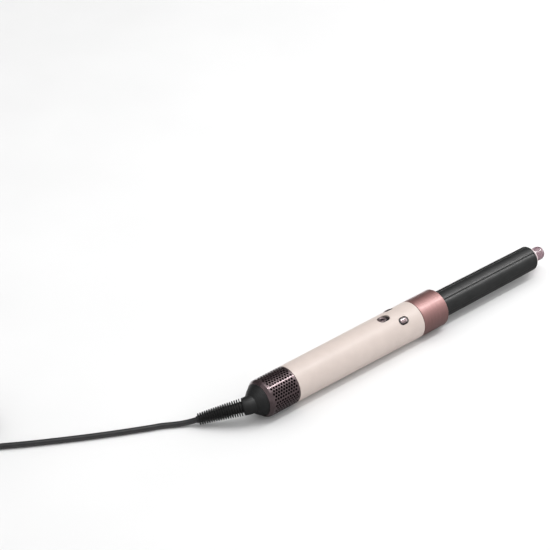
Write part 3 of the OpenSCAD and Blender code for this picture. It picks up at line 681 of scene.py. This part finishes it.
HOLE_R = 0.00134
HOLE_PITCH, ROW_ANGLE = 0.00345, 8.43
HOLES_ALONG = 9
PANELS, ROWS_PER_PANEL = 8, 5
FIRST_SEAM = 29.5
CAGE_R, CAGE_WALL = 0.0205, 0.0012
CAGE_R_IN = CAGE_R - CAGE_WALL
CAGE_RIM_R, CAGE_CHAMFER = 0.0175, 0.0034
HALF_X, HALF_ANGLE = HOLE_PITCH / 2, ROW_ANGLE / 2
X_HOLES = X_CAGE + 0.0049
X_HOLES_END = X_HOLES + HOLE_PITCH * (HOLES_ALONG + 0.5)


def cage_rows():
    """The angle of the middle of each row of holes."""
    rows = []
    for panel in range(PANELS):
        middle = FIRST_SEAM + (panel + 0.5) * 360 / PANELS
        rows += [middle + (k - (ROWS_PER_PANEL - 1) / 2) * ROW_ANGLE for k in range(ROWS_PER_PANEL)]
    return rows


def patches(x, angle):
    """Two faces between two distances and two angles, on the cage's outside and on its inside."""
    return [[(x[0], angle[0], r), (x[1], angle[0], r), (x[1], angle[1], r), (x[0], angle[1], r)]
            for r in (CAGE_R, CAGE_R_IN)]


def cage_cell(x, angle):
    """The cage round one hole: its outside, its inside and the hole's wall."""
    turn = math.degrees(HOLE_R / CAGE_R)
    rim = [(HOLE_R * math.cos(a), turn * math.sin(a)) for a in circle_steps(16)]
    edge = [(HALF_X * i, HALF_ANGLE * j)
            for i, j in ((1, 0), (1, 1), (0, 1), (-1, 1), (-1, 0), (-1, -1), (0, -1), (1, -1))]

    def corners(offsets, r):
        return [(x + dx, angle + da, r) for dx, da in offsets]

    faces = []
    for r in (CAGE_R, CAGE_R_IN):
        for k in range(8):
            sector = [edge[k], edge[(k + 1) % 8], rim[(2 * k + 2) % 16], rim[2 * k + 1], rim[2 * k]]
            faces.append(corners(sector, r))
    for a, b in zip(rim, rim[1:] + rim[:1]):
        faces.append(corners([a, b], CAGE_R) + corners([b, a], CAGE_R_IN))
    return faces


def cage_panels(rows):
    """Rows of holes, each second one shifted by half a pitch and filled up at its other end."""
    faces = []
    for number, middle in enumerate(rows):
        shifted = number % 2
        for hole in range(HOLES_ALONG):
            faces += cage_cell(X_HOLES + HALF_X * (2 * hole + 1 + shifted), middle)
        rest = (X_HOLES, X_HOLES + HALF_X) if shifted else (X_HOLES_END - HALF_X, X_HOLES_END)
        faces += patches(rest, (middle - HALF_ANGLE, middle)) + patches(rest, (middle, middle + HALF_ANGLE))
    return faces


def cage_strips(rows):
    """The plain strip before each panel."""
    steps = [X_HOLES + HALF_X * k for k in range(2 * HOLES_ALONG + 2)]
    faces = []
    for panel in range(PANELS):
        first = panel * ROWS_PER_PANEL
        for x in zip(steps, steps[1:]):
            faces += patches(x, (rows[first - 1] + HALF_ANGLE, rows[first] - HALF_ANGLE))
    return faces


def cage_ends(rows):
    """The plain band at the cage's front and the chamfered rim at its rear."""
    angles = sorted({round((m + d) % 360, 6) for m in rows for d in (-HALF_ANGLE, 0, HALF_ANGLE)})
    angles = [a for i, a in enumerate(angles) if i == 0 or a - angles[i - 1] > 1e-3]
    front = [(X_HOLES_END, CAGE_R, 0), (X_CAGE_END, CAGE_R, 0.0005), (X_CAGE_END, CAGE_R_IN, 0.0002),
             (X_HOLES_END, CAGE_R_IN, 0)]
    rear = [(X_HOLES, CAGE_R, 0), (X_CAGE + CAGE_CHAMFER, CAGE_R, 0.0022),
            (X_CAGE, CAGE_RIM_R + 0.0004, 0.0003), (X_CAGE, CAGE_RIM_R, 0.0002),
            (X_CAGE + 0.0017, CAGE_RIM_R, 0.0005), (X_CAGE + CAGE_CHAMFER + 0.0003, CAGE_R_IN, 0.0008),
            (X_HOLES, CAGE_R_IN, 0)]
    faces = []
    for outline in (rounded(front, closed=False), rounded(rear, closed=False)):
        for (xa, ra), (xb, rb) in zip(outline, outline[1:]):
            for a, b in zip(angles, angles[1:] + angles[:1]):
                faces.append([(xa, a, ra), (xb, a, rb), (xb, b, rb), (xa, b, ra)])
    return faces


def add_cage():
    """The intake cage: staggered rows of round holes in panels with a plain strip between each."""
    rows = cage_rows()
    verts, faces = cornered_mesh(cage_panels(rows) + cage_strips(rows) + cage_ends(rows))
    piece("perforated_cage", verts, faces, "cage", "cage", ("filter_cage",), sharp=38)


def lathe(name, corners, body, slot, replaced, sharp=60, fillet_steps=4, steps=128):
    """A piece turned about the tool's axis from (x, r, fillet) corners."""
    verts, faces = lathe_mesh(rounded(corners, steps=fillet_steps), steps=steps)
    piece(name, verts, faces, body, slot, replaced, sharp=sharp, even=True)


def add_cone():
    """The rubber cone between the cage and the relief, with faint turned ripples."""
    r_big, r_small, r_hole, lip = 0.0173, 0.0100, 0.012, 0.0026
    ripple, ripples, bulge = 0.00009, 7, 0.0006
    corners = [(X_CONE, 0.006, 0), (X_CONE, r_small, 0)]
    steps = 36
    for k in range(1, steps):
        t = k / steps
        wave = ripple * math.sin(2 * math.pi * ripples * t) * min(1, 6 * t, 6 * (1 - t))
        r = r_small + (r_big - r_small) * t + wave + bulge * math.sin(math.pi * t)
        corners.append((X_CONE + (X_CAGE - X_CONE) * t, r, 0))
    corners += [(X_CAGE, r_big, 0), (X_CAGE + lip, r_big, 0.0002), (X_CAGE + lip, r_hole, 0),
                (X_CAGE, r_hole, 0)]
    lathe("ripple_cone", corners, "handle", "black_rubber", ("cord_cone",), sharp=50)


add_cage()
add_cone()

# ---- Collar, slats, end ring and tip ----

COLLAR_R = 0.021
BARREL_R_ROOT, BARREL_R_END = 0.01505, 0.01425
SLATS = 6
SLAT_PHASE, SLAT_PITCH = 32, 60
RAMP_SPAN, SLOT_DEPTH = 24, 0.0010
LIP_SPAN, LIP_THICK, SLAT_THICK = 2, 0.0007, 0.001
HUB_R = 0.00455
KNOB_R, KNOB_STEM_R = 0.0079, 0.0045


def add_collar():
    lathe("rose_collar", [(X_COLLAR, 0.019, 0), (X_COLLAR, COLLAR_R, 0.0006),
                          (X_BARREL - 0.0013, COLLAR_R, 0.0008), (X_BARREL, COLLAR_R - 0.0013, 0.0005),
                          (X_BARREL, 0.017, 0.0004), (X_BARREL - 0.003, 0.017, 0),
                          (X_BARREL - 0.003, 0.019, 0)],
          "barrel", "rose_gold", ("collar_ring",), fillet_steps=8, steps=160)


def slat_section(r):
    """The outline of one slat across the barrel, as (angle, radius)."""
    last = SLAT_PITCH + LIP_SPAN
    outer, inner = [], []
    for k in range(63):
        a = last * k / 62
        drop = SLOT_DEPTH * (1 - math.sin(math.radians(90 * min(a / RAMP_SPAN, 1))))
        edge = 0.00022 * smooth_step((a - last + 1.6) / 1.6)
        outer.append((a, r - drop - edge))
        deep = max(0, 1 - max(0, a - SLAT_PITCH + 8) / 6)
        inner.append((a, r - LIP_THICK - (SLOT_DEPTH + SLAT_THICK - LIP_THICK) * deep))
    return outer + inner[::-1]


def add_slats():
    """Slats that each start sunk under the lip of the last one, which leaves a slot between them."""
    low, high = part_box("barrel_slat_1")
    rings = 7
    for number in range(SLATS):
        verts = []
        for i in range(rings):
            t = i / (rings - 1)
            section = slat_section(BARREL_R_ROOT + (BARREL_R_END - BARREL_R_ROOT) * t)
            verts += [around(low.x + (high.x - low.x) * t, r, SLAT_PHASE + number * SLAT_PITCH + a)
                      for a, r in section]
        n = len(section)
        faces = ring_faces(rings, n, caps=False)
        for base in (0, (rings - 1) * n):
            faces += [[base + k, base + k + 1, base + n - 2 - k, base + n - 1 - k]
                      for k in range(n // 2 - 1)]
        piece(f"smooth_slat_{number + 1}", verts, faces, "barrel", "barrel_metal",
              (f"barrel_slat_{number + 1}",), sharp=38)


def add_end_ring():
    lathe("barrel_nose", [(END_RING[0].x, HUB_R, 0), (END_RING[0].x, BARREL_R_END, 0.0002),
                          (X_END - 0.0022, BARREL_R_END, 0.0014),
                          (X_END - 0.0006, BARREL_R_END - 0.0009, 0.0012), (X_END, 0.0116, 0.0003),
                          (X_END - 0.0003, 0.0114, 0), (X_END - 0.0003, HUB_R, 0)],
          "barrel", "barrel_metal", ("barrel_end_ring",), fillet_steps=8)


def add_tip():
    """A pale foot ring and a translucent domed knob."""
    x_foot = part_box("tip_collar")[0].x
    lathe("tip_foot", [(x_foot, KNOB_STEM_R, 0), (x_foot, 0.0110, 0.0002),
                       (X_END + 0.0022, 0.0112, 0.0010), (X_END + 0.0046, 0.0088, 0.0010),
                       (X_END + 0.0046, KNOB_STEM_R, 0)], "tip", "tip_collar", ("tip_collar",))
    x_knob, centre = X_END + 0.0028, X_TIP - KNOB_R
    dome = [(x_knob - 0.004, 0), (x_knob - 0.004, KNOB_STEM_R), (x_knob, KNOB_STEM_R), (x_knob, KNOB_R)]
    dome += [(centre + KNOB_R * math.sin(math.radians(a)), KNOB_R * math.cos(math.radians(a)))
             for a in range(0, 91, 5)]
    piece("clear_knob", *lathe_mesh(dome, closed=False, steps=96), "tip", "tip_clear",
          ("direction_tip",), sharp=50)


add_collar()
add_slats()
add_end_ring()
add_tip()

# ---- Controls: capsule-shaped buttons, the power slider and the release slider ----

X_BUTTON = X_FRONT - 0.0247
X_SLIDER = X_FRONT - 0.0427
X_RELEASE = X_FRONT - 0.0274
SLIDER_TRAVEL = 0.004
BUTTON_ANGLE = 37


def capsule(length, width, steps=20):
    """The outline of a slot with round ends, as (x, y), anticlockwise."""
    r, reach = width / 2, (length - width) / 2
    points = []
    for end in (1, -1):
        for k in range(steps + 1):
            a = math.radians(-90 * end + 180 * k / steps)
            points.append((end * reach + r * math.cos(a), r * math.sin(a)))
    return points


def cap_mesh(place, size, low, top, fillet):
    """A capsule that stands from a low level up to a surface top(x, y), with a soft edge."""
    length, width = size
    rows = [(0, None)]
    for degrees in range(0, 91, 15):
        a = math.radians(degrees)
        rows.append((fillet * (1 - math.cos(a)), fillet * (1 - math.sin(a))))
    rows += [(fillet + (0.497 * width - fillet) * k / 10, 0) for k in range(1, 11)]
    verts = []
    for inset, sunk in rows:
        outline = capsule(length - 2 * inset, width - 2 * inset)
        verts += [place @ Vector((x, y, low if sunk is None else top(x, y) - sunk)) for x, y in outline]
    return verts, ring_faces(len(rows), len(outline))


def sagitta(radius, x, y):
    """How far a sphere has fallen away at a distance from its top."""
    return radius - math.sqrt(max(radius ** 2 - x * x - y * y, 0))


def flat(height):
    return lambda x, y: height


def domed(peak, radius):
    return lambda x, y: peak - sagitta(radius, x, y)


def dished(peak, radius, depth):
    return lambda x, y: min(peak, peak - depth + sagitta(radius, x, y))


def add_button(name, angle, node):
    """A push button: a domed rim, whose near-black is painted shade for the gap round the cap, and a bright
    domed cap set into it.
    """
    place = station(X_BUTTON, angle)
    rim = cap_mesh(place, (0.0124, 0.0086), 0.0169, domed(0.0216, 0.018), 0.0009)
    piece(name + "_shade_ring", *rim, node, "control_dark", (node,), sharp=60)
    cap = cap_mesh(place, (0.0098, 0.0060), 0.0200, domed(0.022, 0.010), 0.0006)
    piece(name + "_cap", *cap, node, "control_gloss", sharp=60)


def add_power_slider():
    """The power slider: a rim, whose near-black is painted shade for the gap round the pad, with a stem
    through the bed, and a bright dished thumb pad.
    """
    place = station(X_SLIDER - SLIDER_TRAVEL / 2, 0)
    rim = cap_mesh(place, (0.0106, 0.0084), 0.0193, flat(0.0204), 0.0006)
    stem = cap_mesh(place, (0.0040, 0.0020), 0.0160, flat(0.0194), 0.0001)
    foot = cap_mesh(place, (0.0050, 0.0045), 0.0158, flat(0.0164), 0.0001)
    piece("power_slider_shade_ring", *joined(rim, stem, foot), "power_slider", "control_dark",
          ("power_slider",), sharp=60)
    pad = cap_mesh(place, (0.0096, 0.0074), 0.0195, dished(0.0208, 0.0062, 0.0008), 0.0003)
    piece("power_slider_pad", *pad, "power_slider", "control_gloss", sharp=60)


def add_release_ribs():
    """Grip ribs across the release slider on the handle's underside."""
    ribs = []
    for k in range(-2, 3):
        place = station(X_RELEASE + 0.0014 * k, 180) @ Matrix.Rotation(math.pi / 2, 4, "Z")
        ribs.append(cap_mesh(place, (0.0050, 0.0007), 0.0200, flat(0.0205), 0.0003))
    piece("release_grip_ribs", *joined(*ribs), "release_slider", "control_dark", sharp=60)


def add_release_spring(turns=5, wire=0.00025, per_turn=16, sides=8):
    """The coil spring behind the release slider, made once at its length at rest; the real one shortens as
    the slider moves back.
    """
    low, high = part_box("release_spring")
    middle, radius = (low + high) / 2, (high.y - low.y) / 2 - wire
    steps = turns * per_turn
    along = Vector((1, 0, 0))
    verts = []
    for i in range(steps + 1):
        turn = 2 * math.pi * i / per_turn
        out = Vector((0, math.cos(turn), math.sin(turn)))
        x = low.x + wire + (high.x - low.x - 2 * wire) * i / steps
        point = Vector((x, middle.y, middle.z)) + radius * out
        verts += [point + wire * (math.cos(a) * out + math.sin(a) * along) for a in circle_steps(sides)]
    spring = piece("release_coil_spring", verts, ring_faces(steps + 1, sides), None, "steel",
                   ("release_spring",), sharp=80)
    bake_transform(spring)


add_button("airflow", BUTTON_ANGLE, "airflow_button")
add_button("temperature", -BUTTON_ANGLE, "temperature_button")
add_power_slider()
add_release_ribs()
add_release_spring()

# ---- Floor, light and reflection cards ----

FLOOR_REACH = 6.0
WORLD_STRENGTH = 0.49


def staged_plane(name, corners, rough, dark, light, scale, **sockets):
    """A four-cornered floor or card, which isn't part of the object."""
    mesh = bpy.data.meshes.new(name)
    mesh.from_pydata(corners, [], [(0, 1, 2, 3)])
    plane = bpy.data.objects.new(name, mesh)
    bpy.context.scene.collection.objects.link(plane)
    graph = Graph(name, rough, **sockets)
    graph.colour(graph.noise(scale, 2), (dark, dark, dark), (light, light, light))
    mesh.materials.append(graph.material)
    return plane


def add_floor():
    r = FLOOR_REACH
    staged_plane("floor", [(-r, -r, 0), (r, -r, 0), (r, r, 0), (-r, r, 0)], 0.7, 0.775, 0.795, 6,
                 Specular_IOR_Level=0.1)


def add_card(name, tone, corners):
    """A dark card that only reflections see."""
    card = staged_plane(name, corners, 0.9, tone, 1.1 * tone, 4)
    for kind in ("camera", "diffuse", "transmission", "volume_scatter", "shadow"):
        setattr(card, "visible_" + kind, False)


def add_area(name, place, target, size, radiance, glossy=True):
    """A softbox that faces a target, with its length level."""
    data = bpy.data.lights.new(name, "AREA")
    data.shape = "RECTANGLE"
    data.size, data.size_y = size
    data.energy = radiance * math.pi * size[0] * size[1]
    light = bpy.data.objects.new(name, data)
    light.location = place
    light.rotation_euler = (Vector(target) - Vector(place)).to_track_quat("-Z", "Y").to_euler()
    light.visible_glossy = glossy
    bpy.context.scene.collection.objects.link(light)


def add_light():
    world = bpy.data.worlds.new("studio")
    world.use_nodes = True
    background = world.node_tree.nodes["Background"]
    background.inputs["Color"].default_value = (1, 1, 1, 1)
    background.inputs["Strength"].default_value = WORLD_STRENGTH
    bpy.context.scene.world = world
    add_area("softbox", (0.8, -0.36, 1.8), (0.8, 0, 0), (3.6, 2.0), 1.05)
    add_area("strip", (1.0, -0.30, 1.5), (1.0, 0, 0), (2.4, 0.08), 21)
    add_area("tip_side", (2.0, -0.2, 0.5), (0.1, 0, 0), (1.6, 1.0), 1.6)
    add_area("fill", (-0.3, -2.2, 0.9), (-0.3, 0, 0), (2.5, 1.2), 1.1, glossy=False)
    add_area("wash", (-0.8, 1.5, 2.3), (-0.8, 0.4, 0), (2.8, 2.2), 1.0, glossy=False)
    add_card("front_card", 0.19, [(-2, -2, 0.001), (2, -2, 0.001), (2, 0, 0.001), (-2, 0, 0.001)])
    add_card("back_card", 0.05, [(-1, 0.6, 0), (2, 0.6, 0), (2, 0.6, 0.9), (-1, 0.6, 0.9)])


add_floor()
add_light()
bpy.context.scene.view_settings.view_transform = "Standard"
